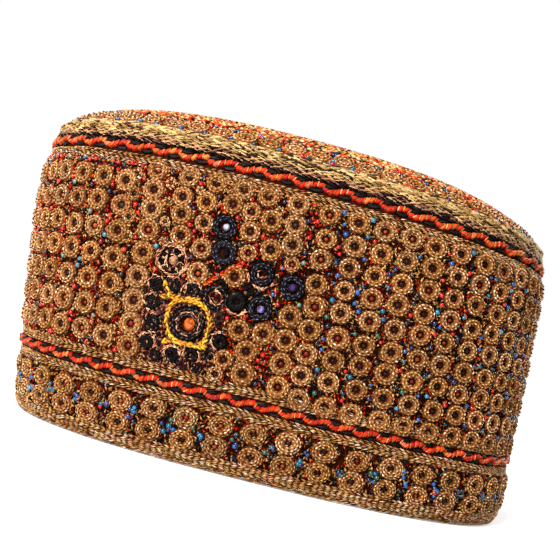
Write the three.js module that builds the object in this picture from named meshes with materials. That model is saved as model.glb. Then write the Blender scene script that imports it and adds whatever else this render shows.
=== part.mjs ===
// An oval embroidered cap: a stiff padded wall that leans a little, a low domed crown, cords and chain-stitched
// edgings sewn round it, and a small stone-set motif on the front.
// Millimetres, +Z up, the front faces -Y. The origin is under the middle of the cap, at the hem.
import * as THREE from "three";

// Driving dimensions
const SIDES = 48; // flat sides of each shell and ring
const SMALL_SIDES = 12; // flat sides of a rosette
const STONE_SIDES = 10; // facets round a cut stone
const CLEARANCE = 0.3; // gap between pieces that touch
const WALL_THICKNESS = 3.2; // padded cloth of the wall and the crown
const PILE = 1; // how far the rosettes of the stitched fields stand out of the padding
const BAND_DEPTH = 2.5; // cords and edgings, from back to crest
const GROOVE = 1; // depth of the grooves between the rows of an edging
const ROW_CREST = [0.3, 0.7]; // the flat crest of a row, as shares of its height
const HEM_HEIGHT = 5.6;
const HEM_FOOT = 0.9; // the hem's lower corners are rounded back by this much
const WALL_TOP = 106;
const ROSETTE = { height: 1, outer_bevel: 0.25, inner_bevel: 0.12 };

// The plan: an oval squarer than an ellipse, worn with its broad side to the front. Heights grow by the tilt
// towards -X, and by the arch towards the middle of the broad sides, both as shares
const PLAN = { half_length: 104, depth_share: 0.65, squareness: 2.5, tilt: -0.017, arch: 0.033 };
const EVEN_SETBACK = 12; // pieces set back no further than this keep one thickness all round the oval

// The cap's outline with all that is sewn on it, from the hem up: radius is the section's half length along X,
// and lean is its shift along X
const SECTIONS = [
  { height: 0, radius: 100.6, lean: -0.2 },
  { height: 3.6, radius: 101.6, lean: -0.2 },
  { height: 10.4, radius: 102.5, lean: -0.4 },
  { height: 26, radius: 103.3, lean: -2.3 },
  { height: 52, radius: 104.8, lean: -4.5 },
  { height: 78, radius: 106, lean: -6.6 },
  { height: 93.6, radius: 106.1, lean: -7.3 },
  { height: 101.9, radius: 104.8, lean: -7.4 },
  { height: 110.3, radius: 102.8, lean: -7.6 },
];

// The crown's curve: flat on top, round towards the shoulder
const CROWN = { radius: 103.4, foot: 110, rise: 13.9, squareness: 6 };
const CROWN_SHARES = [0, 0.3, 0.5, 0.65, 0.76, 0.85, 0.92]; // of the crown's radius, from the middle out
const CROWN_EDGE = CROWN_SHARES.at(-1);
const RIM_HEIGHT = 109.4; // where the crown's rim turns down behind the shoulder braid

// Padded fields of rosettes on the wall; cords and edgings lie in the grooves between them
const FIELDS = [
  { bottom: HEM_HEIGHT + CLEARANCE, top: 19.8 },
  { bottom: 30.9, top: 96.9 },
];
const BANDS = [
  { name: "lower_edging_bottom", bottom: 20.1, top: 23, rows: 2, finish: "gold" },
  { name: "lower_cord", bottom: 23.3, top: 27.7, rows: 1, finish: "red" },
  { name: "lower_edging_top", bottom: 28, top: 30.6, rows: 2, finish: "gold" },
  { name: "upper_edging", bottom: 97.2, top: 100.1, rows: 2, finish: "gold" },
  { name: "upper_cord", bottom: 100.4, top: 106.3, rows: 1, finish: "red" },
];
const HEM_ROWS = 3;
const SHOULDER_BRAID = { bottom: 106.6, crest: 107.7, turn: 0.955, edge: 0.93 }; // turn and edge are crown shares

// The front motif: azimuth is counted from the front towards +X, radii are those of the ring and of its hole
const MEDALLION = { azimuth: -24, height: 46.9, ring: 8.4, core: 6, hole: 2.8 };
const HORNS = [
  { angle: 136, reach: 5.8, spread: 11 },
  { angle: 236, reach: 2.3, spread: 12 },
  { angle: 312, reach: 1.6, spread: 12 },
];
const ROSETTES = [
  { name: "flower_rosette", azimuth: -30.5, height: 66.7, radius: 5.3, hole: 2, finish: "black" },
  { name: "black_rosette_1", azimuth: -18.1, height: 81.8, radius: 4.3, hole: 1.6, finish: "black" },
  { name: "black_rosette_2", azimuth: -16.9, height: 73.2, radius: 4.2, hole: 1.5, finish: "black" },
  { name: "black_rosette_3", azimuth: -5.6, height: 69.5, radius: 4.3, hole: 1.1, finish: "black" },
  { name: "black_rosette_4", azimuth: 3.8, height: 67.4, radius: 4.3, hole: 1.8, finish: "black" },
  { name: "black_rosette_5", azimuth: -4.5, height: 57.6, radius: 4.3, hole: 1.7, finish: "black" },
];
const STONES = [
  { name: "medallion_stone", azimuth: -24, height: 46.9, half_width: 1.95, half_height: 2.4, finish: "orange" },
  { name: "crystal_clear", azimuth: -18.1, height: 81.8, half_width: 1.2, half_height: 1.3, finish: "clear" },
  { name: "crystal_black", azimuth: -16.9, height: 73.2, half_width: 1.1, half_height: 1.1, finish: "jet" },
  { name: "crystal_purple", azimuth: 3.8, height: 67.4, half_width: 1.4, half_height: 1.4, finish: "purple" },
  { name: "crystal_violet", azimuth: -4.5, height: 57.6, half_width: 1.3, half_height: 1.3, finish: "violet" },
];
const STONE = { depth: 1.5, girdle: 0.6, table: 0.6, back: 0.7 }; // table and back are shares of its width
const PEARL = { azimuth: -30.5, height: 66.7, radius: 1.6, depth: 2.5, rings: 6 };

const FINISHES = {
  gold: { color: 0xc79a58, roughness: 0.6, metalness: 0.15 },
  cloth: { color: 0x8a5f35, roughness: 0.85, metalness: 0 },
  red: { color: 0xd2431c, roughness: 0.6, metalness: 0 },
  yellow: { color: 0xdcaa1e, roughness: 0.55, metalness: 0 },
  black: { color: 0x17151c, roughness: 0.5, metalness: 0 },
  orange: { color: 0xd76e14, roughness: 0.1, metalness: 0 },
  clear: { color: 0xe8e6e2, roughness: 0.05, metalness: 0 },
  jet: { color: 0x0c0b10, roughness: 0.1, metalness: 0 },
  purple: { color: 0x43336b, roughness: 0.1, metalness: 0 },
  violet: { color: 0x8f86d8, roughness: 0.1, metalness: 0 },
  pearl: { color: 0xc9a06a, roughness: 0.3, metalness: 0 },
};

const cap = new THREE.Group();
const sewn = new THREE.Group(); // everything that is laid out from the hem's middle
cap.add(sewn);
const radians = THREE.MathUtils.degToRad;

function addPiece(name, geometry, finish, parent = sewn) {
  const piece = new THREE.Mesh(geometry, new THREE.MeshStandardMaterial(FINISHES[finish]));
  piece.name = name;
  parent.add(piece);
}

// One column of the section table at any height
function sectionAt(height, column) {
  const above = SECTIONS.findIndex((section) => section.height >= height);
  if (above < 0) return SECTIONS.at(-1)[column];
  if (above === 0) return SECTIONS[0][column];
  const [low, high] = [SECTIONS[above - 1], SECTIONS[above]];
  const share = (height - low.height) / (high.height - low.height);
  return THREE.MathUtils.lerp(low[column], high[column], share);
}

// A point of a profile: radius and height, set back from the outline
const wallPoint = (height, inset) => new THREE.Vector2(sectionAt(height, "radius") - inset, height);

function crownPoint(share, inset) {
  const { radius, foot, rise, squareness } = CROWN;
  const slope = (-rise * squareness * share ** (squareness - 1)) / radius;
  const outward = new THREE.Vector2(-slope, 1).normalize();
  const onCurve = new THREE.Vector2(share * radius, foot + rise * (1 - share ** squareness));
  return onCurve.addScaledVector(outward, -inset);
}

// Heights from bottom to top, with the sections between them
function heightsBetween(bottom, top) {
  const between = SECTIONS.map((section) => section.height).filter((height) => height > bottom && height < top);
  return [bottom, ...between, top];
}

// Brings a point of a round cap, laid out about the Z axis, to its place on the oval, leaning, tilted and arched cap
function shaped(round) {
  const { half_length: halfLength, depth_share: depth, squareness, tilt, arch } = PLAN;
  const outline = sectionAt(round.z, "radius");
  const out = Math.hypot(round.x, round.y);
  const turn = Math.atan2(depth * round.y, round.x);
  const aim = new THREE.Vector2(Math.cos(turn), Math.sin(turn));
  const oval = new THREE.Vector2(Math.abs(aim.x), Math.abs(aim.y) / depth);
  const reach = (oval.x ** squareness + oval.y ** squareness) ** (-1 / squareness);
  const normal = new THREE.Vector2(oval.x ** (squareness - 1), oval.y ** (squareness - 1) / depth).normalize();
  const squint = normal.x * Math.abs(aim.x) + normal.y * Math.abs(aim.y);
  const even = Math.min(outline - out, EVEN_SETBACK) / squint;
  const shrink = Math.min(1, out / (outline - EVEN_SETBACK));
  const place = aim.multiplyScalar((outline * reach - even) * shrink);
  const along = place.x / halfLength;
  const height = round.z * (1 + tilt * along + arch * (1 - along * along));
  return new THREE.Vector3(place.x + sectionAt(round.z, "lean"), place.y, height);
}

// Turns a profile round the Z axis and brings it to the cap's own shape
function shapedLathe(profile) {
  const geometry = new THREE.LatheGeometry(profile, SIDES).rotateX(Math.PI / 2);
  const places = geometry.getAttribute("position");
  const round = new THREE.Vector3();
  for (let i = 0; i < places.count; i++)
    places.setXYZ(i, ...shaped(round.fromBufferAttribute(places, i)));
  return geometry;
}

// A profile that ends where it starts
const closed = (points) => [...points, points[0]];

// The front of a band, from bottom to top: rows of chain stitch, or one round cord
function bandFront(bottom, top, rows) {
  const pitch = (top - bottom) / rows;
  const points = [];
  for (let row = 0; row < rows; row++)
    points.push(
      wallPoint(bottom + row * pitch, GROOVE),
      ...ROW_CREST.map((share) => wallPoint(bottom + (row + share) * pitch, 0)),
    );
  return [...points, wallPoint(top, GROOVE)];
}

function addWall() {
  const groove = BAND_DEPTH + CLEARANCE;
  const outside = [];
  for (const { bottom, top } of FIELDS) {
    for (const height of heightsBetween(bottom, top)) outside.push(wallPoint(height, PILE));
    outside.push(wallPoint(top, groove));
    const next = FIELDS.find((field) => field.bottom > top);
    if (next) outside.push(wallPoint(next.bottom, groove));
  }
  outside.push(wallPoint(WALL_TOP, groove));
  const heights = heightsBetween(FIELDS[0].bottom, WALL_TOP);
  const inside = heights.map((height) => wallPoint(height, PILE + WALL_THICKNESS));
  addPiece("side_wall", shapedLathe(closed([...outside, ...inside.reverse()])), "cloth");
}

function addCrown() {
  const groove = BAND_DEPTH + CLEARANCE;
  const rimBottom = WALL_TOP + CLEARANCE;
  const inset = PILE + WALL_THICKNESS;
  const inside = CROWN_SHARES.map((share) => crownPoint(share, inset));
  const innerRim = [wallPoint(RIM_HEIGHT, inset), wallPoint(rimBottom, inset)];
  const outerRim = [rimBottom, RIM_HEIGHT].map((height) => wallPoint(height, groove));
  outerRim.push(crownPoint(CROWN_EDGE, groove));
  const outside = CROWN_SHARES.map((share) => crownPoint(share, PILE)).reverse();
  addPiece("crown", shapedLathe([...inside, ...innerRim, ...outerRim, ...outside]), "cloth");
}

function addBands() {
  for (const { name, bottom, top, rows, finish } of BANDS) {
    const back = [wallPoint(top, BAND_DEPTH), wallPoint(bottom, BAND_DEPTH)];
    addPiece(name, shapedLathe(closed([...bandFront(bottom, top, rows), ...back])), finish);
  }
}

// The hem is as thick as the wall above it, with a flat foot
function addHem() {
  const front = bandFront(HEM_FOOT, HEM_HEIGHT, HEM_ROWS);
  const inset = PILE + WALL_THICKNESS;
  const back = [wallPoint(HEM_HEIGHT, inset), wallPoint(HEM_FOOT, inset)];
  const foot = [wallPoint(0, inset - HEM_FOOT), wallPoint(0, GROOVE + HEM_FOOT)];
  addPiece("hem_braid", shapedLathe(closed([...front, ...back, ...foot])), "gold");
}

function addShoulderBraid() {
  const { bottom, crest, turn, edge } = SHOULDER_BRAID;
  const front = [wallPoint(bottom, GROOVE), wallPoint(crest, 0), wallPoint(SECTIONS.at(-1).height, 0)];
  const over = [crownPoint(turn, 0), crownPoint((turn + edge) / 2, 0), crownPoint(edge, GROOVE)];
  const back = [crownPoint(edge, BAND_DEPTH), wallPoint(RIM_HEIGHT, BAND_DEPTH), wallPoint(bottom, BAND_DEPTH)];
  addPiece("shoulder_braid", shapedLathe(closed([...front, ...over, ...back])), "gold");
}

// A point of the wall's padding; the azimuth is that of the oval itself
function onPadding(azimuth, height) {
  const turn = Math.atan2(Math.sin(radians(azimuth)) * PLAN.depth_share, Math.cos(radians(azimuth)));
  const reach = sectionAt(height, "radius") - PILE;
  return shaped(new THREE.Vector3(reach * Math.sin(turn), -reach * Math.cos(turn), height));
}

// A group on the wall's padding, with its own Z pointing out of the wall and its Y up
function seatOnWall(azimuth, height) {
  const seat = new THREE.Group();
  const place = onPadding(azimuth, height);
  const along = onPadding(azimuth + 1, height).sub(onPadding(azimuth - 1, height)).normalize();
  const up = onPadding(azimuth, height + 1).sub(onPadding(azimuth, height - 1));
  const out = new THREE.Vector3().crossVectors(along, up).normalize();
  seat.setRotationFromMatrix(new THREE.Matrix4().makeBasis(along, up.crossVectors(out, along), out));
  seat.position.copy(place.addScaledVector(out, CLEARANCE));
  sewn.add(seat);
  return seat;
}

// A padded ring lying on the wall
function roundel(radius, hole) {
  const crest = (radius + hole) / 2;
  const profile = [
    new THREE.Vector2(hole, 0),
    new THREE.Vector2(radius, 0),
    new THREE.Vector2(radius - ROSETTE.outer_bevel, ROSETTE.height / 2),
    new THREE.Vector2(crest, ROSETTE.height),
    new THREE.Vector2(hole + ROSETTE.inner_bevel, ROSETTE.height / 2),
  ];
  return new THREE.LatheGeometry(closed(profile), SMALL_SIDES).rotateX(Math.PI / 2);
}

// The yellow ring: its outer edge runs out into horns
function hornedRing({ ring, core }) {
  const outline = new THREE.Shape();
  for (let step = 0; step < SIDES; step++) {
    const angle = (360 * step) / SIDES;
    let reach = ring;
    for (const horn of HORNS) {
      const off = Math.abs(angle - horn.angle) / horn.spread;
      reach += horn.reach * Math.max(0, 1 - off);
    }
    const point = [reach * Math.cos(radians(angle)), reach * Math.sin(radians(angle))];
    if (step) outline.lineTo(...point);
    else outline.moveTo(...point);
  }
  outline.closePath();
  outline.holes.push(new THREE.Path().absarc(0, 0, core + CLEARANCE, 0, 2 * Math.PI, true));
  const options = { depth: ROSETTE.height, bevelEnabled: false, curveSegments: SMALL_SIDES };
  return new THREE.ExtrudeGeometry(outline, options);
}

// A cut stone: a flat back, a girdle and a table
function cutStone({ half_width: halfWidth, half_height: halfHeight }) {
  const profile = [
    new THREE.Vector2(0, 0),
    new THREE.Vector2(STONE.back, 0),
    new THREE.Vector2(1, STONE.girdle),
    new THREE.Vector2(STONE.table, STONE.depth),
    new THREE.Vector2(0, STONE.depth),
  ];
  const geometry = new THREE.LatheGeometry(profile, STONE_SIDES).rotateX(Math.PI / 2);
  return geometry.scale(halfWidth, halfHeight, 1);
}

function pearl({ radius, depth, rings }) {
  const profile = [];
  for (let ring = 0; ring <= rings; ring++) {
    const angle = (Math.PI * ring) / rings;
    profile.push(new THREE.Vector2(radius * Math.sin(angle), (depth / 2) * (1 - Math.cos(angle))));
  }
  profile[0].x = profile[rings].x = 0;
  return new THREE.LatheGeometry(profile, STONE_SIDES).rotateX(Math.PI / 2);
}

function addMotif() {
  const middle = seatOnWall(MEDALLION.azimuth, MEDALLION.height);
  addPiece("medallion_ring", hornedRing(MEDALLION), "yellow", middle);
  addPiece("medallion_core", roundel(MEDALLION.core, MEDALLION.hole), "black", middle);
  for (const { name, azimuth, height, radius, hole, finish } of ROSETTES)
    addPiece(name, roundel(radius, hole), finish, seatOnWall(azimuth, height));
  for (const stone of STONES)
    addPiece(stone.name, cutStone(stone), stone.finish, seatOnWall(stone.azimuth, stone.height));
  addPiece("flower_pearl", pearl(PEARL), "pearl", seatOnWall(PEARL.azimuth, PEARL.height));
}

addWall();
addCrown();
addBands();
addHem();
addShoulderBraid();
addMotif();

// The cap's own middle stands over the origin
const middle = new THREE.Box3().setFromObject(sewn).getCenter(new THREE.Vector3());
sewn.position.set(-middle.x, -middle.y, 0);

export default cap;
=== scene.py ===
import math

import bpy
import numpy as np
from mathutils import Matrix, Vector


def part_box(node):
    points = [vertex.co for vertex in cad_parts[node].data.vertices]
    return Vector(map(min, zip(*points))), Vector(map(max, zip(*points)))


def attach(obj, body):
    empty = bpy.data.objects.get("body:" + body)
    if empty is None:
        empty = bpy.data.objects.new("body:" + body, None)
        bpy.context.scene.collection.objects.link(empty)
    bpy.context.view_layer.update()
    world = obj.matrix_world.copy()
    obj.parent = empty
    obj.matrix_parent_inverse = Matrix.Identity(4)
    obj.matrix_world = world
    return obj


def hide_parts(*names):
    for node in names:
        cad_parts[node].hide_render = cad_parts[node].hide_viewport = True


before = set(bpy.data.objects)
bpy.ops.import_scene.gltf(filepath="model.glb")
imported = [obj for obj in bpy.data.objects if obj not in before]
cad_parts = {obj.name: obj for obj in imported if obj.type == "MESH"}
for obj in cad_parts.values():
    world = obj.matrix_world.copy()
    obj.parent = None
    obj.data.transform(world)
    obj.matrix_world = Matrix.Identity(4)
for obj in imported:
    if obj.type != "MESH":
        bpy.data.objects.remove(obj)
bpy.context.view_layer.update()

# The wall: stiff padded cotton, sewn into an oval tube that leans a little to one side. Its outside is
# covered with dark thread before the rosettes are sewn on, and its inside is the plain back of the cloth.
MM = 1000.0
PLAN = {"half_length": 104.0, "depth_share": 0.65, "squareness": 2.5, "tilt": -0.017, "arch": 0.033}
OUTLINE_STEPS = 4001
# Sections of the wall from the hem up: height, half length and lean along X
SECTIONS = np.array([(0, 100.6, -0.2), (3.6, 101.6, -0.2), (10.4, 102.5, -0.4), (26, 103.3, -2.3),
                     (52, 104.8, -4.5), (78, 106, -6.6), (93.6, 106.1, -7.3), (101.9, 104.8, -7.4),
                     (110.3, 102.8, -7.6)])
SECTION_HEIGHTS, SECTION_RADII, SECTION_LEANS = SECTIONS.T
WALL = {"bottom": 4.6, "top": 108, "outside": 1.0, "inside": 4.2, "around": 160, "up": 24}

hem_low, hem_high = (MM * np.array(corner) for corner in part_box("hem_braid"))
hem_middle = (hem_low + hem_high) / 2 * (1, 1, 0) - (SECTION_LEANS[0], 0, 0)
turns = np.linspace(-np.pi, np.pi, OUTLINE_STEPS)
reach = (np.abs(np.sin(turns)) ** PLAN["squareness"]
         + np.abs(np.cos(turns) / PLAN["depth_share"]) ** PLAN["squareness"]) ** (-1 / PLAN["squareness"])
outline = np.stack([reach * np.sin(turns), -reach * np.cos(turns)], 1)
arc = np.concatenate([[0], np.cumsum(np.linalg.norm(np.diff(outline, axis=0), axis=1))])
PERIMETER = arc[-1] * PLAN["half_length"]
arc = arc / arc[-1] - 0.5


def plan(along):
    """Unit outline at a distance in mm from the front's middle, counted towards +X."""
    share = (np.asarray(along, float) / PERIMETER + 0.5) % 1 - 0.5
    return np.interp(share, arc, outline[:, 0]), np.interp(share, arc, outline[:, 1])


def settle(x, y, height):
    """Leans, tilts and arches points of the upright oval cap."""
    share = x / PLAN["half_length"]
    lift = 1 + PLAN["tilt"] * share + PLAN["arch"] * (1 - share * share)
    lean = np.interp(height, SECTION_HEIGHTS, SECTION_LEANS)
    return np.stack(np.broadcast_arrays(x + lean, y, height * lift), -1) + hem_middle


def on_wall(along, height):
    """A point of the wall's outside."""
    x, y = plan(along)
    radius = np.interp(height, SECTION_HEIGHTS, SECTION_RADII)
    return settle(radius * x, radius * y, height)


def seats(surface, along, level, nudge=(0.2, 0.1)):
    """Places on a surface, and there the directions along it, up it and out of it, from a nudge each way."""
    along, level = np.broadcast_arrays(np.asarray(along, float), np.asarray(level, float))
    place = surface(along, level)
    right = surface(along + nudge[0], level) - surface(along - nudge[0], level)
    up = surface(along, level + nudge[1]) - surface(along, level - nudge[1])
    right /= np.linalg.norm(right, axis=-1, keepdims=True)
    out = np.cross(right, up)
    out /= np.linalg.norm(out, axis=-1, keepdims=True)
    return place, right, np.cross(out, right), out


def linear(*colours):
    """Linear colours from 0 to 255 screen values."""
    c = np.asarray(colours, float) / 255
    return np.where(c <= 0.04045, c / 12.92, ((c + 0.055) / 1.055) ** 2.4)


def make_piece(name, arrays, material, replaces=()):
    """One mesh from arrays: points in mm, faces, a tint for each point and its place on the bake map."""
    points, faces, tints, cells = arrays
    faces = np.asarray(faces, np.int32)
    mesh = bpy.data.meshes.new(name)
    mesh.vertices.add(len(points))
    mesh.vertices.foreach_set("co", (np.asarray(points) / MM).astype(np.float32).ravel())
    mesh.loops.add(faces.size)
    mesh.loops.foreach_set("vertex_index", faces.ravel())
    mesh.polygons.add(len(faces))
    mesh.polygons.foreach_set("loop_start", np.arange(0, faces.size, faces.shape[1], dtype=np.int32))
    mesh.polygons.foreach_set("use_smooth", np.ones(len(faces), bool))
    mesh.update(calc_edges=True)
    colour = mesh.attributes.new("tint", "FLOAT_COLOR", "POINT")
    rgba = np.concatenate([tints, np.ones((len(points), 1))], 1).astype(np.float32)
    colour.data.foreach_set("color", rgba.ravel())
    layer = mesh.uv_layers.new(name="OFBake")
    layer.data.foreach_set("uv", np.asarray(cells, np.float32)[faces.ravel()].ravel())
    mesh.materials.append(material)
    piece = bpy.data.objects.new(name, mesh)
    bpy.context.scene.collection.objects.link(piece)
    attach(piece, "root")
    if replaces:
        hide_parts(*replaces)
    return piece


def cloth_shell(surface, levels, outside, inside):
    """A closed shell of cloth between two depths behind a surface, dark outside and plain inside."""
    around = WALL["around"]
    along = np.arange(around) * PERIMETER / around
    rows = []
    for depth, order in ((outside, levels), (inside, levels[::-1])):
        for level in order:
            place, _, _, out = seats(surface, along, level)
            rows.append(place - depth * out)
    count = len(rows)
    i, j = np.meshgrid(np.arange(count), np.arange(around), indexing="ij")
    following, right = (i + 1) % count, (j + 1) % around
    corners = (i, j), (i, right), (following, right), (following, j)
    quads = np.stack([row * around + column for row, column in corners], -1).reshape(-1, 4)
    cells = np.stack([j / (around - 1), i / (count - 1)], -1).reshape(-1, 2)
    is_back = np.repeat(np.arange(count) >= len(levels), around)
    return np.concatenate(rows), quads, np.where(is_back[:, None], CLOTH_BACK, GROUND), cells


def node_group(name, inputs, outputs):
    """A shader node group: inputs gives sockets and values, outputs gives sockets and types."""
    group = bpy.data.node_groups.new(name, "ShaderNodeTree")
    for label, value in inputs.items():
        kind = "NodeSocketFloat" if isinstance(value, float) else "NodeSocketColor"
        group.interface.new_socket(name=label, in_out="INPUT", socket_type=kind).default_value = value
    for label, kind in outputs.items():
        group.interface.new_socket(name=label, in_out="OUTPUT", socket_type=kind)
    return group, group.nodes.new("NodeGroupInput"), group.nodes.new("NodeGroupOutput")


def add_node(tree, kind, links=None, **values):
    """A node with its settings and input values, linked from other nodes' outputs."""
    node = tree.nodes.new("ShaderNode" + kind)
    for key, value in values.items():
        if key in node.inputs:
            node.inputs[key].default_value = value
        else:
            setattr(node, key, value)
    for socket, source in (links or {}).items():
        tree.links.new(source, node.inputs[socket])
    return node


def mottle(group, scale, detail, darkest, lightest):
    """The piece's own tint made lighter and darker by fine noise: the place, the noise and the colour."""
    tint = add_node(group, "Attribute", attribute_name="tint")
    where = add_node(group, "NewGeometry")
    noise = add_node(group, "TexNoise", {"Vector": where.outputs["Position"], "Scale": scale}, Detail=detail)
    shade = add_node(group, "MapRange", {"Value": noise.outputs["Fac"]},
                     **{"To Min": darkest, "To Max": lightest})
    mixed = add_node(group, "VectorMath", {0: tint.outputs["Color"], "Scale": shade.outputs["Result"]},
                     operation="SCALE")
    return where.outputs["Position"], noise.outputs["Fac"], mixed.outputs["Vector"]


def put_out(group, result, sources):
    """Links sockets of a group's nodes to its outputs."""
    for label, source in sources.items():
        group.links.new(source, result.inputs[label])


def new_material(name, group, own_values, links, **values):
    """A Principled material: a group with its own values feeds some sockets, constants fill others."""
    material = bpy.data.materials.new(name)
    material.use_nodes = True
    tree = material.node_tree
    shader = tree.nodes["Principled BSDF"]
    for key, value in values.items():
        shader.inputs[key.replace("_", " ")].default_value = value
    effect = tree.nodes.new("ShaderNodeGroup")
    effect.node_tree = group
    for label, value in own_values.items():
        effect.inputs[label].default_value = value
    for label in links:
        tree.links.new(effect.outputs[label], shader.inputs[label])
    return material


WEAVE = {"Grain Scale": 900.0, "Weave Scale": 950.0}
TINT_AND_RELIEF = {"Base Color": "NodeSocketColor", "Normal": "NodeSocketVector"}
cloth_group, given, result = node_group("woven_cloth", WEAVE, TINT_AND_RELIEF)
where, _, colour = mottle(cloth_group, given.outputs["Grain Scale"], detail=3.0, darkest=0.55,
                          lightest=1.5)
weave = add_node(cloth_group, "TexVoronoi", {"Vector": where, "Scale": given.outputs["Weave Scale"]})
relief = add_node(cloth_group, "Bump", {"Height": weave.outputs["Distance"]}, Strength=0.5, Distance=0.0004)
put_out(cloth_group, result, {"Base Color": colour, "Normal": relief.outputs["Normal"]})
cloth_material = new_material("ground_cloth", cloth_group, WEAVE, TINT_AND_RELIEF, Roughness=0.9,
                              Specular_IOR_Level=0.02)

GROUND, CLOTH_BACK = linear((44, 14, 5), (104, 74, 48))
wall_levels = np.linspace(WALL["bottom"], WALL["top"], WALL["up"])
wall_shell = cloth_shell(on_wall, wall_levels, WALL["outside"], WALL["inside"])
wall_cloth = make_piece("wall_cloth", wall_shell, cloth_material, ["side_wall"])

# The rosettes of the wall: rings of padding worked over with rows of chain stitch in gold and tan thread,
# each round a small bead. They are sewn on in columns and touch one another, and those of the lower band
# are drawn a little oval.
random = np.random.default_rng(11)
FIELD = {"first": 12.8, "last": 505.3, "columns": 51, "turn": 283.0, "shift": 0.45, "spread": 0.035,
         "pieces": 3}
ROWS = {
    "left": {"top": 90.8, "pitch": 9.1, "count": 7, "half": (4.65, 4.55)},
    "right": {"top": 94.7, "pitch": 7.95, "count": 9, "half": (4.4, 4.1)},
}
# Rosettes fitted round the front motif: distance along the wall, height and radius
FITTED = np.array([
    (-50.2, 96.0, 4.0), (-38.3, 95.9, 3.9), (-28.3, 95.8, 3.8), (-18.3, 95.8, 3.9), (-9.6, 95.6, 4.0),
    (1.2, 95.4, 4.1), (-50.0, 89.0, 4.2), (-39.0, 88.6, 3.8), (-30.3, 88.6, 3.8), (-14.2, 89.0, 3.4),
    (-6.8, 87.6, 4.0), (1.6, 88.2, 4.0), (-49.4, 82.4, 4.4), (-38.2, 82.8, 4.0), (-29.6, 81.4, 3.5),
    (-13.3, 82.3, 3.8), (1.9, 81.4, 4.0), (-49.4, 75.0, 4.4), (-37.0, 75.4, 4.0), (-29.0, 72.8, 3.8),
    (-12.6, 75.0, 3.1), (-5.0, 78.0, 4.1), (3.0, 75.0, 2.9), (-50.0, 67.0, 4.5), (-29.0, 64.3, 4.2),
    (-16.0, 66.2, 4.1), (-50.8, 58.6, 4.5), (5.2, 57.6, 4.2), (-51.0, 50.3, 4.5), (-11.6, 49.0, 4.0),
    (-3.0, 49.7, 4.1), (5.0, 49.5, 4.2), (-51.0, 42.2, 4.5), (-8.0, 42.6, 4.2), (4.7, 41.4, 4.3),
    (-21.0, 90.0, 3.8), (-15.5, 38.0, 3.6), (-50.8, 34.6, 4.4), (-8.0, 34.9, 4.5), (5.0, 33.5, 4.2),
    (-17.6, 32.6, 2.9), (-57.6, 93.2, 2.5), (-57.2, 86.4, 2.7), (-57.5, 78.0, 2.6), (-57.0, 71.2, 2.4),
    (-57.8, 62.4, 2.3), (-57.9, 54.2, 2.2), (-58.0, 46.2, 2.3), (-57.9, 38.4, 2.2), (-44.2, 92.4, 2.1),
    (-44.0, 85.8, 1.9), (-43.6, 79.0, 2.0), (-43.2, 72.2, 1.6), (-33.4, 92.2, 1.5), (-23.6, 95.4, 2.4),
    (-4.6, 91.6, 1.6),
])
FITTED_GROWTH = 1.06
LOWER = {"columns": 45, "first": -0.8, "heights": (15.7, 8.3), "half": (4.85, 4.15), "hole": 1.0,
         "step": 0.7, "shift": 0.4, "spread": 0.03}
ROSETTE = {"sunk": 1.2, "padding_sunk": 0.15, "rise": 1.65, "steepest": 0.5, "rise_spread": 0.07,
           "widest_hole": 1.25, "hole_share": 0.3}
# A rosette's own colour: shares of the main thread and of one other, and how much the parts of it vary
BLEND = {"main": 0.68, "other": 0.16, "body": 0.1, "thread": 0.17, "dash": 0.3, "strays": 0.28}
RING = {"slant": 0.22, "wobble": 0.06, "fewest": 5, "start": 6.3}
STITCH = {
    "thread": {"per_radius": 4.3, "overlap": 1.15, "half_width": 0.33, "height": 0.42},
    "dash": {"per_radius": 3.2, "overlap": 0.75, "half_width": 0.21, "height": 0.5},
}
# Rings of stitches over a rosette, from its rim to its hole: share of the way, lightness and kind. The
# lightness is painted shade, darker on the low rings at the rim and round the hole
RINGS = {
    "field": [(0.08, 0.34, "thread"), (0.28, 1.0, "thread"), (0.47, 1.0, "dash"), (0.65, 1.0, "thread"),
              (0.87, 0.4, "thread")],
    "lower": [(0.07, 0.34, "thread"), (0.22, 1.0, "thread"), (0.35, 1.0, "dash"), (0.48, 1.0, "thread"),
              (0.62, 1.0, "dash"), (0.75, 0.95, "thread"), (0.91, 0.5, "thread")],
    "small": [(0.1, 0.45, "thread"), (0.36, 1.0, "thread"), (0.62, 1.0, "thread"), (0.88, 0.6, "thread")],
}
# The padding's section from the hole to the rim: share of the way, share of the crest, and lightness,
# which is painted shade: lightest on the crest, darkest down in the hole and at the rim
PAD_SECTION = np.array([(0.0, -0.25, 0.05), (0.1, 0.35, 0.14), (0.3, 0.82, 0.34), (0.5, 1.0, 0.42),
                        (0.7, 0.85, 0.36), (0.9, 0.4, 0.16), (1.0, -0.2, 0.05)])
PAD_SIDES = 16
GOLD = linear((217, 164, 103), (198, 140, 78), (164, 104, 48), (242, 213, 174), (220, 150, 118),
              (112, 58, 24), (198, 156, 70), (180, 84, 62))
GOLD_SHARES = [0.18, 0.16, 0.11, 0.28, 0.08, 0.12, 0.04, 0.03]
DASH = linear((66, 22, 5))[0]
# Painted shade grows redder as it darkens, as light that comes back out of the folds would: powers of a
# lightness for red, green and blue
DEEPEN = np.array((0.92, 1.25, 1.5))
# Share of a stitch's height that lies under its seat, share of a strand that has its full thickness, and the
# empty edge round each body's cell of the bake map
STITCH_SINK, STRAND_MIDDLE, CELL_MARGIN = 0.3, 0.5, 0.1


def lay(place, right, up, out, angle, half_length, half_width, height):
    """Stitches laid at an angle: half their run and breadth, and the middles of their foot and top."""
    angle, half_length, half_width, height = (np.broadcast_to(value, place.shape[:1])[:, None]
                                              for value in (angle, half_length, half_width, height))
    run = np.cos(angle) * right + np.sin(angle) * up
    side = half_width * np.cross(out, run)
    return half_length * run, side, place - STITCH_SINK * height * out, place + height * out


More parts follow.
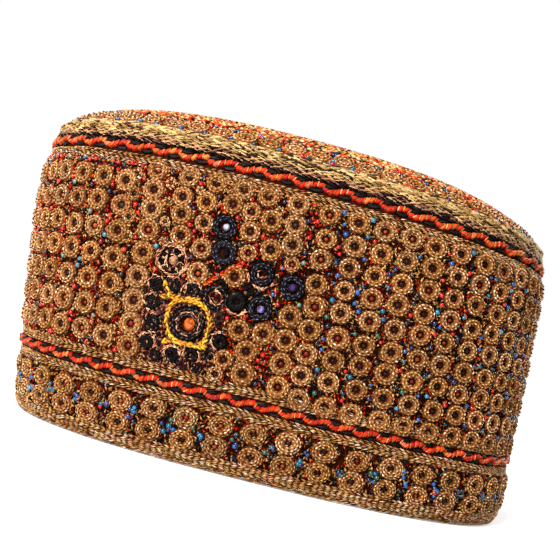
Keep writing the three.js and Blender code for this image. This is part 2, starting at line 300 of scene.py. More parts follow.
def strands(*placing):
    """Thick strands with long middles, laid as lay() says: 8 points and 12 triangles each."""
    run, side, foot, top = lay(*placing)
    points = [foot - run]
    for step in (-STRAND_MIDDLE * run, STRAND_MIDDLE * run):
        points += [foot + step + side, top + step, foot + step - side]
    return np.stack(points + [foot + run], 1)


STRAND_FACES = np.array([(0, 2, 1), (0, 3, 2), (0, 1, 3), (1, 2, 5), (1, 5, 4), (2, 3, 6), (2, 6, 5),
                         (3, 1, 4), (3, 4, 6), (7, 4, 5), (7, 5, 6), (7, 6, 4)])
STRAND_CELL = np.array([(0.1, 0.5), (0.35, 0.1), (0.35, 0.5), (0.35, 0.9), (0.65, 0.1), (0.65, 0.5),
                        (0.65, 0.9), (0.9, 0.5)])


def stitches(*placing):
    """Short stitches, laid as lay() says: 5 points and 6 triangles each."""
    run, side, foot, top = lay(*placing)
    return np.stack([foot - run, foot + side, top, foot - side, foot + run], 1)


STITCH_FACES = np.array([(0, 2, 1), (0, 3, 2), (0, 1, 3), (4, 1, 2), (4, 2, 3), (4, 3, 1)])
STITCH_CELL = np.array([(0.1, 0.5), (0.5, 0.1), (0.5, 0.5), (0.5, 0.9), (0.9, 0.5)])


def join(bodies):
    """Arrays of one mesh from groups of alike bodies: points (n, k, 3), faces, tints and a bake cell."""
    total = sum(len(body[0]) for body in bodies)
    side = math.ceil(math.sqrt(total))
    points, faces, tints, cells = [], [], [], []
    first_point = first_body = 0
    for body_points, body_faces, body_tints, body_cell in bodies:
        count, size = body_points.shape[:2]
        points.append(body_points.reshape(-1, 3))
        starts = first_point + size * np.arange(count)
        faces.append((starts[:, None, None] + body_faces).reshape(-1, 3))
        body_tints = np.reshape(body_tints, (count, -1, 3))
        tints.append(np.broadcast_to(body_tints, (count, size, 3)).reshape(-1, 3))
        index = first_body + np.arange(count)
        corner = np.stack([index % side, index // side], -1)
        inset = CELL_MARGIN + (1 - 2 * CELL_MARGIN) * body_cell
        cells.append(((corner[:, None] + inset) / side).reshape(-1, 2))
        first_point += count * size
        first_body += count
    return tuple(np.concatenate(group) for group in (points, faces, tints, cells))


def pick(palette, shares, count, spread=0.18):
    """Tints drawn from a palette, each a little lighter or darker."""
    return palette[random.choice(len(palette), count, p=shares)] * random.lognormal(0, spread, (count, 1))


def stitch_ring(seat, half, kind, level, slant):
    """A ring of stitches on one seat, each turned by the slant from the ring's line."""
    place, right, up, out = seat
    size = STITCH[kind]
    count = max(RING["fewest"], round(size["per_radius"] * half.mean()))
    angle = random.uniform(0, RING["start"]) + 2 * np.pi * np.arange(count) / count
    local = np.stack([half[0] * np.cos(angle), half[1] * np.sin(angle)], -1)
    heading = np.arctan2(half[1] * np.cos(angle), -half[0] * np.sin(angle))
    heading = heading + slant + random.normal(0, RING["wobble"], count)
    spots = place + local[:, :1] * right + local[:, 1:] * up + level * out
    ones = np.ones((count, 1))
    half_length = size["overlap"] * np.pi * half.mean() / count
    return stitches(spots, ones * right, ones * up, ones * out, heading, half_length, size["half_width"],
                    size["height"])


def padding_ring(seat, outer, hole, crest):
    """The padding under a rosette: an open ring with a raised middle."""
    place, right, up, out = seat
    angle = 2 * np.pi * np.arange(PAD_SIDES) / PAD_SIDES
    rows = []
    for share, level, _ in PAD_SECTION:
        half_width, half_height = (hole + share * (half - hole) for half in outer)
        flat = (half_width * np.cos(angle))[:, None] * right + (half_height * np.sin(angle))[:, None] * up
        rows.append(place + flat + level * crest * out)
    return np.concatenate(rows[::-1])


def ring_faces(rows, sides):
    """Triangles between rows of points, each row closed round."""
    i, j = np.meshgrid(np.arange(rows - 1), np.arange(sides), indexing="ij")
    a, b = i * sides + j, i * sides + (j + 1) % sides
    c, d = b + sides, a + sides
    return np.concatenate([np.stack([a, b, c], -1).reshape(-1, 3), np.stack([a, c, d], -1).reshape(-1, 3)])


def ring_cell(rows, sides):
    """Places of such rows of points on the bake map."""
    turn, climb = np.arange(sides) / sides, np.arange(rows) / (rows - 1)
    return np.stack([np.tile(turn, rows), np.repeat(climb, sides)], -1)


def rosettes(surface, along, level, half, hole, rings, palette, shares, dash=DASH, rise=ROSETTE["rise"]):
    """Padded rosettes, worked over in rings of chain stitch round a hole: groups of bodies to join."""
    pads, pad_tints, threads, tints = [], [], [], []
    holes = np.broadcast_to(hole, len(along))
    place, right, up, out = seats(surface, along, level)
    for k in range(len(along)):
        seat = place[k] - ROSETTE["sunk"] * out[k], right[k], up[k], out[k]
        radius = half[k].mean()
        crest = min(rise, ROSETTE["steepest"] * radius) * random.normal(1, ROSETTE["rise_spread"])
        body = BLEND["main"] * palette[0] + BLEND["other"] * pick(palette, shares, 1)
        body = body * random.lognormal(0, BLEND["body"])
        pads.append(padding_ring(seat, half[k], holes[k], crest) - ROSETTE["padding_sunk"] * out[k])
        # Painted shade: the padding's lightness darkens and reddens the rosette's colour down its slopes
        pad_tints.append(np.repeat(PAD_SECTION[::-1, 2:] ** DEEPEN * body, PAD_SIDES, axis=0))
        for number, (share, light, kind) in enumerate(RINGS[rings]):
            height = crest * np.interp(1 - share, PAD_SECTION[:, 0], PAD_SECTION[:, 1])
            slant = RING["slant"] * (-1) ** number
            ring = stitch_ring(seat, half[k] - share * (radius - holes[k]), kind, height, slant)
            column = len(ring), 1
            stray = random.random(column) < BLEND["strays"]
            stray_tints = pick(palette, shares, len(ring))
            shade = np.where(stray, stray_tints, body * random.lognormal(0, BLEND["thread"], column))
            # Dashes have a colour of their own: dark on the gold rosettes, painted glints on the black ones
            if kind == "dash":
                shade = dash * random.lognormal(0, BLEND["dash"], column)
            threads.append(ring)
            # Painted shade: the ring's lightness darkens and reddens its stitches
            tints.append(light ** DEEPEN * shade)
    rows = len(PAD_SECTION)
    return [(np.stack(pads), ring_faces(rows, PAD_SIDES), np.stack(pad_tints), ring_cell(rows, PAD_SIDES)),
            (np.concatenate(threads), STITCH_FACES, np.concatenate(tints), STITCH_CELL)]


FIBRE = {"Fibre Scale": 2600.0, "Relief": 0.35}
thread_group, given, result = node_group("spun_thread", FIBRE, TINT_AND_RELIEF)
_, fibre, colour = mottle(thread_group, given.outputs["Fibre Scale"], detail=2.0, darkest=0.6,
                          lightest=1.4)
relief = add_node(thread_group, "Bump", {"Height": fibre, "Strength": given.outputs["Relief"]},
                  Distance=0.0002)
put_out(thread_group, result, {"Base Color": colour, "Normal": relief.outputs["Normal"]})
gold_material = new_material("gold_thread", thread_group, FIBRE, TINT_AND_RELIEF, Roughness=0.55,
                             Specular_IOR_Level=0.08, Specular_Tint=(1.0, 0.65, 0.3, 1.0))

field = []
for column in np.linspace(FIELD["first"], FIELD["last"], FIELD["columns"]):
    rows = ROWS["left" if column > FIELD["turn"] else "right"]
    field += [(column, rows["top"] - row * rows["pitch"], *rows["half"]) for row in range(rows["count"])]
field = np.array(field)
field[:, :2] += FIELD["shift"] * random.uniform(-1, 1, (len(field), 2))
field[:, 2:] *= random.normal(1, FIELD["spread"], (len(field), 1))
field = np.concatenate([field, FITTED[:, (0, 1, 2, 2)] * (1, 1, FITTED_GROWTH, FITTED_GROWTH)])
holes = np.minimum(ROSETTE["widest_hole"], ROSETTE["hole_share"] * field[:, 2])
for number, part in enumerate(np.array_split(np.arange(len(field)), FIELD["pieces"])):
    bodies = rosettes(on_wall, field[part, 0], field[part, 1], field[part, 2:], holes[part], "field", GOLD,
                      GOLD_SHARES)
    make_piece(f"wall_rosettes_{number + 1}", join(bodies), gold_material)

lower_pitch = PERIMETER / LOWER["columns"]
lower_columns = LOWER["first"] + lower_pitch * np.arange(LOWER["columns"])
lower = np.array([(column - LOWER["step"] * number, height) for column in lower_columns
                  for number, height in enumerate(LOWER["heights"])])
lower += LOWER["shift"] * random.uniform(-1, 1, lower.shape)
lower_half = np.array(LOWER["half"]) * random.normal(1, LOWER["spread"], (len(lower), 1))
bodies = rosettes(on_wall, lower[:, 0], lower[:, 1], lower_half, LOWER["hole"], "lower", GOLD, GOLD_SHARES)
make_piece("lower_rosettes", join(bodies), gold_material)

# The filling between the rosettes: short loose stitches in red, black, gold and brown thread, worked in
# every gap. It is redder on the left, darker and bluer on the right and in the lower band.
FILLING = linear((160, 20, 8), (24, 6, 3), (180, 130, 78), (74, 27, 8), (172, 62, 18), (88, 13, 7),
                 (138, 110, 48), (20, 48, 66))
WARM_FILLING = [0.17, 0.28, 0.2, 0.12, 0.05, 0.09, 0.06, 0.03]
COOL_FILLING = [0.07, 0.36, 0.18, 0.13, 0.02, 0.06, 0.1, 0.08]
FILLING_SPREAD = 0.3
# Bands of filling: number of stitches tried, lowest and highest
FILLING_BANDS = [(56000, 31.0, 97.5), (11000, 5.5, 19.8)]
LOOSE_STITCH = {"half_length": 1.0, "half_width": 0.38, "height": 0.5}
LOOSE_LIFT, LOOSE_TURN = (-0.8, -0.25), 3.1
FILLING_CLEAR = 0.92
COOL_SIDE = {"from": 8.0, "blur": 14.0, "below": 20.0}
# Layout of the front motif, which the filling keeps clear of: distance along the wall, height, radius, hole
PATCH_MIDDLE, PATCH_HALF = np.array((-33.2, 46.0)), np.array((13.8, 15.0))
BLACK_ROSETTES = [(-22.2, 81.8, 4.9, 1.5), (-21.0, 73.2, 5.0, 1.4), (-6.7, 69.3, 4.9, 1.3),
                  (4.4, 67.4, 5.0, 1.6), (-5.5, 57.8, 5.0, 1.6)]
ROUNDELS = [(-43.2, 57.4, 2.9), (-36.2, 58.4, 2.6), (-29.6, 58.5, 2.7), (-43.8, 51.2, 2.9),
            (-42.8, 44.6, 3.1), (-43.8, 37.6, 3.0), (-40.0, 33.6, 2.5), (-34.0, 35.4, 2.9),
            (-27.0, 36.9, 3.0), (-23.6, 33.2, 2.4), (-14.0, 58.2, 4.2), (-10.4, 62.8, 2.4),
            (-19.2, 51.4, 2.4), (-17.6, 43.6, 2.9), (-21.4, 38.4, 1.9), (-19.8, 62.4, 2.6),
            (-24.8, 66.8, 1.7), (-20.6, 67.4, 1.8)]
MEDALLION = (-29.9, 46.8)
FLOWER, FLOWER_RADIUS = (-38.9, 66.6), 5.7
EYE, EYE_RADIUS = (-21.4, 57.8), 4.7


def clearance(spots, ovals):
    """How far spots are from the nearest of some ovals, in shares of its half width and height."""
    off = np.abs((spots[:, None, 0] - ovals[None, :, 0] + PERIMETER / 2) % PERIMETER - PERIMETER / 2)
    return np.hypot(off / ovals[:, 2], (spots[:, None, 1] - ovals[:, 1]) / ovals[:, 3]).min(1)


def open_spots(spots, clear):
    """The spots that lie clear of every rosette and outside the motif's patch."""
    in_patch = (np.abs(spots - PATCH_MIDDLE) < PATCH_HALF).all(1)
    return spots[(clearance(spots, blocked) > clear) & ~in_patch]


def on_cool_side(spots):
    """Which spots lie in the cooler right half, with a blurred edge."""
    return spots[:, 0] > COOL_SIDE["from"] + random.normal(0, COOL_SIDE["blur"], len(spots))


def loose_stitches(spots, lift, half_length, half_width, height):
    """Stitches at any angle on spots of the wall, lifted off it."""
    place, right, up, out = seats(on_wall, *spots.T)
    angle = random.uniform(0, LOOSE_TURN, len(spots))
    return stitches(place + lift * out, right, up, out, angle, half_length, half_width, height)


spots = np.concatenate([np.stack([random.uniform(0, PERIMETER, count), random.uniform(low, high, count)], 1)
                        for count, low, high in FILLING_BANDS])
spots[:, 0] = (spots[:, 0] + PERIMETER / 2) % PERIMETER - PERIMETER / 2
taken = np.concatenate([field, np.concatenate([lower, lower_half], 1)])
motif_rounds = [row[:3] for row in BLACK_ROSETTES + ROUNDELS] + [(*FLOWER, FLOWER_RADIUS), (*EYE, EYE_RADIUS)]
blocked = np.concatenate([taken, np.array(motif_rounds)[:, (0, 1, 2, 2)]])
spots = open_spots(spots, FILLING_CLEAR)
threads = loose_stitches(spots, random.uniform(*LOOSE_LIFT, (len(spots), 1)), **LOOSE_STITCH)
cool = (on_cool_side(spots) | (spots[:, 1] < COOL_SIDE["below"]))[:, None]
cool_tints = pick(FILLING, COOL_FILLING, len(spots), FILLING_SPREAD)
tints = np.where(cool, cool_tints, pick(FILLING, WARM_FILLING, len(spots), FILLING_SPREAD))
bodies = [(threads, STITCH_FACES, tints, STITCH_CELL)]
make_piece("filling_stitches", join(bodies), gold_material)

# The glass seed beads: one in the hole of each rosette, and others in the gaps between them, sewn on singly.
# Reds and darks lie to the left and in the middle, blues and teals to the right and in the lower band.
BEAD = {"sides": 7, "rings": 4, "flatness": 0.85, "first_ring": 0.35, "ends": 0.3}
HOLE_BEAD = {"radius": 1.08, "spread": 0.08, "depth": 1.6}
GAP_BEAD = {"radius": 0.92, "spread": 0.12, "depth": 0.45}
GAPS = {"tries": 14000, "low": 32, "high": 97, "clear": 1.12, "apart": 2.3}
LOWER_GAPS = {"beads": 6, "height": 12.0, "offset": -0.3, "scatter": (1.1, 1.6)}
# The beads in the holes: dull colours of their own, made darker still as painted shade of the deep holes
HOLE_BEADS = linear((32, 11, 6), (56, 20, 8), (156, 62, 16), (122, 20, 9), (15, 13, 20), (36, 30, 12),
                    (12, 6, 5))
HOLE_SHARES = [0.2, 0.22, 0.16, 0.16, 0.06, 0.08, 0.12]
WARM_BEADS = linear((180, 14, 12), (140, 12, 10), (30, 18, 24), (24, 28, 54), (56, 118, 134), (190, 54, 18),
                    (92, 126, 106))
WARM_SHARES = [0.3, 0.14, 0.24, 0.12, 0.06, 0.08, 0.06]
COOL_BEADS = linear((20, 76, 138), (14, 88, 112), (18, 28, 70), (170, 16, 14), (44, 118, 150), (20, 17, 24),
                    (30, 86, 66))
COOL_SHARES = [0.22, 0.14, 0.18, 0.24, 0.06, 0.12, 0.04]
LOWER_SHARES = [0.24, 0.16, 0.24, 0.08, 0.06, 0.18, 0.04]


def beads(surface, along, level, depth, radius, tints):
    """Small round beads, flattened a little along the surface's normal."""
    place, right, up, out = (v[:, None, :] for v in seats(surface, along, level))
    sides, rings = BEAD["sides"], BEAD["rings"]
    radius = radius[:, None, None]
    turn = 2 * np.pi * np.arange(sides)[None, :, None] / sides
    rows = []
    for ring in range(rings):
        tip = np.pi * (ring + BEAD["first_ring"]) / (rings - BEAD["ends"])
        flat = radius * np.sin(tip) * (np.cos(turn) * right + np.sin(turn) * up)
        rows.append(place + flat + (BEAD["flatness"] * radius * np.cos(tip) - depth) * out)
    last = (rings - 1) * sides
    caps = [(0, k, k + 1) for k in range(1, sides - 1)]
    caps += [(last, last + k + 1, last + k) for k in range(1, sides - 1)]
    faces = np.concatenate([ring_faces(rings, sides)[:, ::-1], np.array(caps)])
    return np.concatenate(rows, 1), faces, tints, ring_cell(rings, sides)


def choose(palette, shares, count):
    """Tints drawn from a palette as they are."""
    return palette[random.choice(len(palette), count, p=shares)]


def spread_out(spots, apart):
    """The spots that lie further than a distance from every spot kept before them."""
    kept = np.zeros((0, 2))
    for spot in spots:
        if len(kept) == 0 or np.hypot(*(kept - spot).T).min() > apart:
            kept = np.concatenate([kept, spot[None]])
    return kept


def gap_beads(spots, palette, shares):
    """Beads on the wall's filling, standing between the rosettes."""
    radii = GAP_BEAD["radius"] * random.normal(1, GAP_BEAD["spread"], len(spots))
    tints = choose(palette, shares, len(spots))
    return beads(on_wall, *spots.T, GAP_BEAD["depth"], radii, tints)


CLOUD = {"Cloud Scale": 1200.0}
TINT_AND_GLOSS = {"Base Color": "NodeSocketColor", "Roughness": "NodeSocketFloat"}
bead_group, given, result = node_group("bead_glass", CLOUD, TINT_AND_GLOSS)
_, cloud, colour = mottle(bead_group, given.outputs["Cloud Scale"], detail=2.0, darkest=0.7,
                          lightest=1.3)
gloss = add_node(bead_group, "MapRange", {"Value": cloud}, **{"To Min": 0.08, "To Max": 0.3})
put_out(bead_group, result, {"Base Color": colour, "Roughness": gloss.outputs["Result"]})
bead_material = new_material("seed_beads", bead_group, CLOUD, TINT_AND_GLOSS, Coat_Weight=0.2,
                             Coat_Roughness=0.05)
# Matte beads in the holes, whose dark tints include painted shade
hole_material = new_material("dull_beads_in_painted_shade", bead_group, CLOUD, ["Base Color"], Roughness=0.5,
                             Specular_IOR_Level=0.25)

hole_places = np.concatenate([field[:, :2], lower])
hole_tints = choose(HOLE_BEADS, HOLE_SHARES, len(hole_places))
hole_radii = HOLE_BEAD["radius"] * random.normal(1, HOLE_BEAD["spread"], len(hole_places))
bodies = [beads(on_wall, hole_places[:, 0], hole_places[:, 1], HOLE_BEAD["depth"], hole_radii, hole_tints)]
make_piece("hole_beads", join(bodies), hole_material)

gaps = np.stack([random.uniform(-PERIMETER / 2, PERIMETER / 2, GAPS["tries"]),
                 random.uniform(GAPS["low"], GAPS["high"], GAPS["tries"])], 1)
gaps = spread_out(open_spots(gaps, GAPS["clear"]), GAPS["apart"])
cool = on_cool_side(gaps)
bodies = [gap_beads(gaps[cool], COOL_BEADS, COOL_SHARES), gap_beads(gaps[~cool], WARM_BEADS, WARM_SHARES)]
gaps = np.repeat(lower_columns + lower_pitch / 2 + LOWER_GAPS["offset"], LOWER_GAPS["beads"])
gaps = np.stack([gaps, np.full(len(gaps), LOWER_GAPS["height"])], 1)
gaps += random.normal(0, LOWER_GAPS["scatter"], gaps.shape)
bodies.append(gap_beads(gaps, COOL_BEADS, LOWER_SHARES))
make_piece("seed_beads", join(bodies), bead_material)

# The cords of the wall: a thick red and orange ply that winds up and down between black ones, couched round
# the cap above the lower band and under the shoulder. Tan couching thread cuts the red ply into cells.
CORDS = [
    {"name": "lower_cord", "height": 25.5, "bars": 63, "rise": 0.72, "red": 1.08, "black": 0.5, "tie": 0.3},
    {"name": "upper_cord", "height": 103.2, "bars": 54, "rise": 0.8, "red": 1.15, "black": 0.55, "tie": 0.4},
]
CORD = {"cells": 5, "climb": 0.68, "thickness": 1.1, "wobble": 0.08, "slope_step": 0.02}
RED_PLY = {"turn": 0.5, "length": 0.84, "depth": 0.6}
TIE = {"turn": 1.2, "length": 1.05, "lift": 0.7}
BLACK_PLY = {"turn": 0.12, "length": 2.3, "depth": 0.7}
# Black strands of one repeat: share of the repeat, and height in shares of the rise
BLACK_STRANDS = [(0.88, 1.25), (0.98, 1.7), (1.06, 1.1), (0.5, -1.6), (0.6, -2.0), (0.7, -1.4)]
RED = linear((204, 44, 15), (214, 78, 24), (178, 26, 12), (226, 118, 50), (160, 22, 24), (204, 92, 62))
RED_SHARES = [0.4, 0.22, 0.2, 0.08, 0.06, 0.04]
RED_SPREAD = 0.16
BLACK = linear((15, 11, 11), (23, 18, 19), (10, 7, 7), (42, 31, 26))
BLACK_SHARES = [0.4, 0.25, 0.25, 0.1]
COUCHING = linear((180, 118, 62), (148, 80, 38), (198, 146, 90), (112, 82, 48))
COUCHING_SHARES = [0.3, 0.3, 0.2, 0.2]


def cord_strands(cord, share, level, turn, length, width, depth):
    """Strands of a cord, one for each share of each repeat, at heights over the cord's middle line."""
    bars = cord["bars"]
    share, level, turn = (np.tile(value, bars) for value in np.broadcast_arrays(share, level, turn))
    along = (np.repeat(np.arange(bars), len(share) // bars) + share) * PERIMETER / bars
    along = along + random.normal(0, CORD["wobble"], len(along))
    place, right, up, out = seats(on_wall, along, cord["height"] + level)
    turn = turn + random.normal(0, CORD["wobble"], len(along))
    return strands(place - depth * out, right, up, out, turn, length, width, CORD["thickness"] * width)


def cord_wave(share):
    """Height of the red ply over one repeat, from -1 to 1: a slow climb, then a quick fall."""
    share = share % 1
    climb = -np.cos(np.pi * share / CORD["climb"])
    fall = np.cos(np.pi * (share - CORD["climb"]) / (1 - CORD["climb"]))
    return np.where(share < CORD["climb"], climb, fall)


cord_material = new_material("red_cord", thread_group, FIBRE, TINT_AND_RELIEF, Roughness=0.5,
                             Specular_IOR_Level=0.12)
for cord in CORDS:
    period = PERIMETER / cord["bars"]
    cells = (np.arange(CORD["cells"]) + 0.5) / CORD["cells"]
    between = cells + 0.5 / CORD["cells"]
    step = CORD["slope_step"]
    gain = cord_wave(cells + step) - cord_wave(cells - step)
    slope = np.arctan(cord["rise"] * gain / (2 * step * period))
    red = cord_strands(cord, cells, cord["rise"] * cord_wave(cells), slope + RED_PLY["turn"],
                       RED_PLY["length"] * period / CORD["cells"], cord["red"], RED_PLY["depth"])
    tie = cord_strands(cord, between, cord["rise"] * cord_wave(between), slope + TIE["turn"],
                       TIE["length"] * cord["red"], cord["tie"], RED_PLY["depth"] - TIE["lift"] * cord["red"])
    black = np.concatenate([cord_strands(cord, np.array([share]), level * cord["rise"], BLACK_PLY["turn"],
                                         BLACK_PLY["length"], cord["black"], BLACK_PLY["depth"])
                            for share, level in BLACK_STRANDS])
    bodies = [(red, STRAND_FACES, pick(RED, RED_SHARES, len(red), RED_SPREAD), STRAND_CELL),
              (tie, STRAND_FACES, pick(COUCHING, COUCHING_SHARES, len(tie)), STRAND_CELL),
              (black, STRAND_FACES, pick(BLACK, BLACK_SHARES, len(black)), STRAND_CELL)]
    make_piece(cord["name"] + "_plies", join(bodies), cord_material, [cord["name"]])

# The edgings and the hem: rows of gold chain stitch laid side by side, four or five beside each cord and
# seven round the hem, which is rolled over the cloth's edge and carries the cap. Pairs of rows twist
# opposite ways.
EDGINGS = [
    {"name": "lower_edging_bottom", "rows": (20.3, 21.15, 22.0, 22.85)},
    {"name": "lower_edging_top", "rows": (28.1, 28.95, 29.8, 30.65)},
    {"name": "upper_edging", "rows": (96.5, 97.4, 98.3, 99.2, 100.1)},
    {"name": "hem_braid", "rows": (0.45, 1.2, 1.95, 2.7, 3.45, 4.2, 4.95)},
]
EDGING = {"link": 2.3, "width": 0.27, "twist": 0.22, "depth": 0.9, "bulge": 0.25, "shade": 0.7, "spread": 0.2}
EDGING_SHARES = [0.26, 0.18, 0.12, 0.15, 0.11, 0.13, 0.04, 0.01]
HEM = {"top": 6.2, "bulge": 0.9}
CHAIN = {"apart": 0.7, "length": 0.72, "thickness": 1.4, "shift": 0.15, "wobble": 0.08, "wave": 0.12,
         "waves": 0.21}


def chain_row(surface, level, depth, link, width, slants, make=stitches):
    """A row of chain stitch right round the cap: two legs a link, each with its slant."""
    count = round(PERIMETER / link)
    along = (np.arange(count) + random.random()) * PERIMETER / count
    bodies = []
    for leg, slant in zip((-1, 1), slants):
        wave = CHAIN["wave"] * np.sin(along * CHAIN["waves"] + leg + level)
        shifted = along + random.normal(0, CHAIN["shift"], count)
        place, right, up, out = seats(surface, shifted, level + leg * CHAIN["apart"] * width + wave)
        angle = slant + random.normal(0, CHAIN["wobble"], count)
        bodies.append(make(place - depth * out, right, up, out, angle, CHAIN["length"] * link, width,
                           CHAIN["thickness"] * width))
    return np.concatenate(bodies)


for edging in EDGINGS:
    rows = []
    for number, height in enumerate(edging["rows"]):
        twist = EDGING["twist"] if number % 4 < 2 else -EDGING["twist"]
        bulge = EDGING["bulge"]
        if height < HEM["top"]:
            bulge = HEM["bulge"] * math.sin(math.pi * height / HEM["top"])
        rows.append(chain_row(on_wall, height, EDGING["depth"] - bulge, EDGING["link"], EDGING["width"],
                              (twist, twist)))
    threads = np.concatenate(rows)
    tints = EDGING["shade"] * pick(GOLD, EDGING_SHARES, len(threads), EDGING["spread"])
    bodies = [(threads, STITCH_FACES, tints, STITCH_CELL)]
    make_piece(edging["name"] + "_chains", join(bodies), gold_material, [edging["name"]])

# The roll under the hem's chain rows: the cloth's edge, turned under and stuffed, so that the cap stands on
# it. It is closed all round and runs behind the rows.
ROLL = {"half_height": 2.75, "half_width": 1.4, "depth": 2.5, "sides": 12, "lowest": 0.02}
ROLL_COLOUR = linear((84, 52, 28))[0]
roll_along = np.arange(WALL["around"]) * PERIMETER / WALL["around"]
rows = []
for angle in np.linspace(0, 2 * np.pi, ROLL["sides"], endpoint=False):
    height = ROLL["half_height"] + ROLL["half_height"] * math.sin(angle)
    place, _, _, out = seats(on_wall, roll_along, max(height, ROLL["lowest"]))
    rows.append(place + (ROLL["half_width"] * math.cos(angle) - ROLL["depth"]) * out)
points = np.concatenate(rows)
faces = ring_faces(ROLL["sides"] + 1, WALL["around"]) % len(points)
roll_arrays = points, faces, np.tile(ROLL_COLOUR, (len(points), 1)), ring_cell(ROLL["sides"], WALL["around"])
hem_roll = make_piece("hem_roll", roll_arrays, cloth_material)

# The crown: a low dome of padded cloth sewn to the wall's top. It is covered with one ring of rosettes with
# beads between them, and then with chain rows in red, orange and gold, worked round and round to the middle.
CROWN = {"radius": 103.4, "foot": 110.0, "rise": 13.9, "squareness": 6.0, "outside": 1.0, "inside": 4.0,
         "middle": 0.002}
# The cloth's rows of points, closer near the rim: first and last distance inward, and number
CROWN_BANDS = [(1.0, 30, 16), (34, 102.5, 14)]
CROWN_RING = {"columns": 58, "inward": 6.8, "half": (4.7, 4.2), "hole": 0.5, "rise": 1.45}
CROWN_BEAD = {"a_column": 5, "inward": (3.6, 10.6), "shift": 0.9, "scatter": 0.8, "depth": 0.4,
              "radius": 0.8, "spread": 0.1}
CROWN_BEAD_SHARES = [0.1, 0.16, 0.18, 0.34, 0.04, 0.14, 0.04]
# Chain rows from the rim inward: first and last distance from the rim, distance apart, and stitch pitch
CROWN_ROWS = [(2.6, 27, 1.5, 2.7), (28, 101.5, 2.1, 2.9)]
CROWN_CHAIN = {"length": 0.6, "width": 0.17, "height": 0.6, "apart": 0.35, "slant": 0.3, "wobble": 0.15,
               "shift": 0.3, "scatter": 0.1, "depth": 0.4, "ring_depth": 0.75, "ring_edge": 12, "fewest": 10,
               "spread": 0.22}
CROWN_THREADS = linear((190, 150, 94), (188, 44, 16), (196, 84, 28), (214, 180, 128), (118, 76, 38),
                       (40, 14, 8), (166, 132, 52), (24, 60, 80))
GOLD_ROW = [0.32, 0.1, 0.08, 0.2, 0.12, 0.12, 0.05, 0.01]
RED_ROW = [0.18, 0.24, 0.2, 0.1, 0.07, 0.15, 0.04, 0.02]


def on_crown(along, inward):
    """A point of the crown at a distance in mm inward from its rim, measured along its radius at the ends."""
    x, y = plan(along)
    share = np.clip(1 - np.asarray(inward, float) / CROWN["radius"], CROWN["middle"], 1)
    height = CROWN["foot"] + CROWN["rise"] * (1 - share ** CROWN["squareness"])
    return settle(CROWN["radius"] * share * x, CROWN["radius"] * share * y, height)


crown_levels = np.concatenate([np.linspace(*band) for band in CROWN_BANDS])
crown_shell = cloth_shell(on_crown, crown_levels, CROWN["outside"], CROWN["inside"])
crown_cloth = make_piece("crown_cloth", crown_shell, cloth_material, ["crown"])

count = CROWN_RING["columns"]
crown_columns = (np.arange(count) + 0.5) / count * PERIMETER
crown_half = np.tile(CROWN_RING["half"], (count, 1))
crown_inward = np.full(count, CROWN_RING["inward"])
bodies = rosettes(on_crown, crown_columns, crown_inward, crown_half, CROWN_RING["hole"], "field", GOLD,
                  GOLD_SHARES, rise=CROWN_RING["rise"])
make_piece("crown_rosettes", join(bodies), gold_material)

spots = np.tile(crown_columns, CROWN_BEAD["a_column"]) + PERIMETER / (2 * count)
count = len(spots)
spots = spots + random.normal(0, CROWN_BEAD["shift"], count)
levels = random.choice(CROWN_BEAD["inward"], count) + random.normal(0, CROWN_BEAD["scatter"], count)
tints = choose(COOL_BEADS, CROWN_BEAD_SHARES, count)
radii = random.normal(CROWN_BEAD["radius"], CROWN_BEAD["spread"], count)
bodies = [beads(on_crown, spots, levels, CROWN_BEAD["depth"], radii, tints)]
make_piece("crown_beads", join(bodies), bead_material)

chain_rows = [(inward, pitch) for first, last, apart, pitch in CROWN_ROWS
              for inward in np.arange(first, last, apart)]
threads, tints = [], []
for number, (inward, pitch) in enumerate(chain_rows):
    count = max(CROWN_CHAIN["fewest"], round(PERIMETER * (1 - inward / CROWN["radius"]) / pitch))
    depth = CROWN_CHAIN["ring_depth" if inward < CROWN_CHAIN["ring_edge"] else "depth"]
    for leg in (-1, 1):
        along = (np.arange(count) + CROWN_CHAIN["shift"] * random.standard_normal(count)) * PERIMETER / count
        level = inward + leg * CROWN_CHAIN["apart"] + random.normal(0, CROWN_CHAIN["scatter"], count)
        place, right, up, out = seats(on_crown, along, level)
        angle = leg * CROWN_CHAIN["slant"] + random.normal(0, CROWN_CHAIN["wobble"], count)
        threads.append(stitches(place - depth * out, right, up, out, angle, CROWN_CHAIN["length"] * pitch,
                                CROWN_CHAIN["width"] * pitch, CROWN_CHAIN["height"]))
        tints.append(pick(CROWN_THREADS, RED_ROW if number % 2 else GOLD_ROW, count, CROWN_CHAIN["spread"]))
bodies = [(np.concatenate(threads), STITCH_FACES, np.concatenate(tints), STITCH_CELL)]
make_piece("crown_chains", join(bodies), gold_material)

# The shoulder braid: a thick braid over the seam between wall and crown. Its lowest row is black, then two
# dull purple and gold rows climb to six rows of pale gold with dark gaps.
PALE = linear((180, 146, 92), (162, 127, 76), (138, 100, 56), (198, 168, 115), (56, 32, 27))
DULL = linear((176, 130, 90), (120, 74, 62), (190, 150, 100), (38, 20, 24), (140, 96, 72))
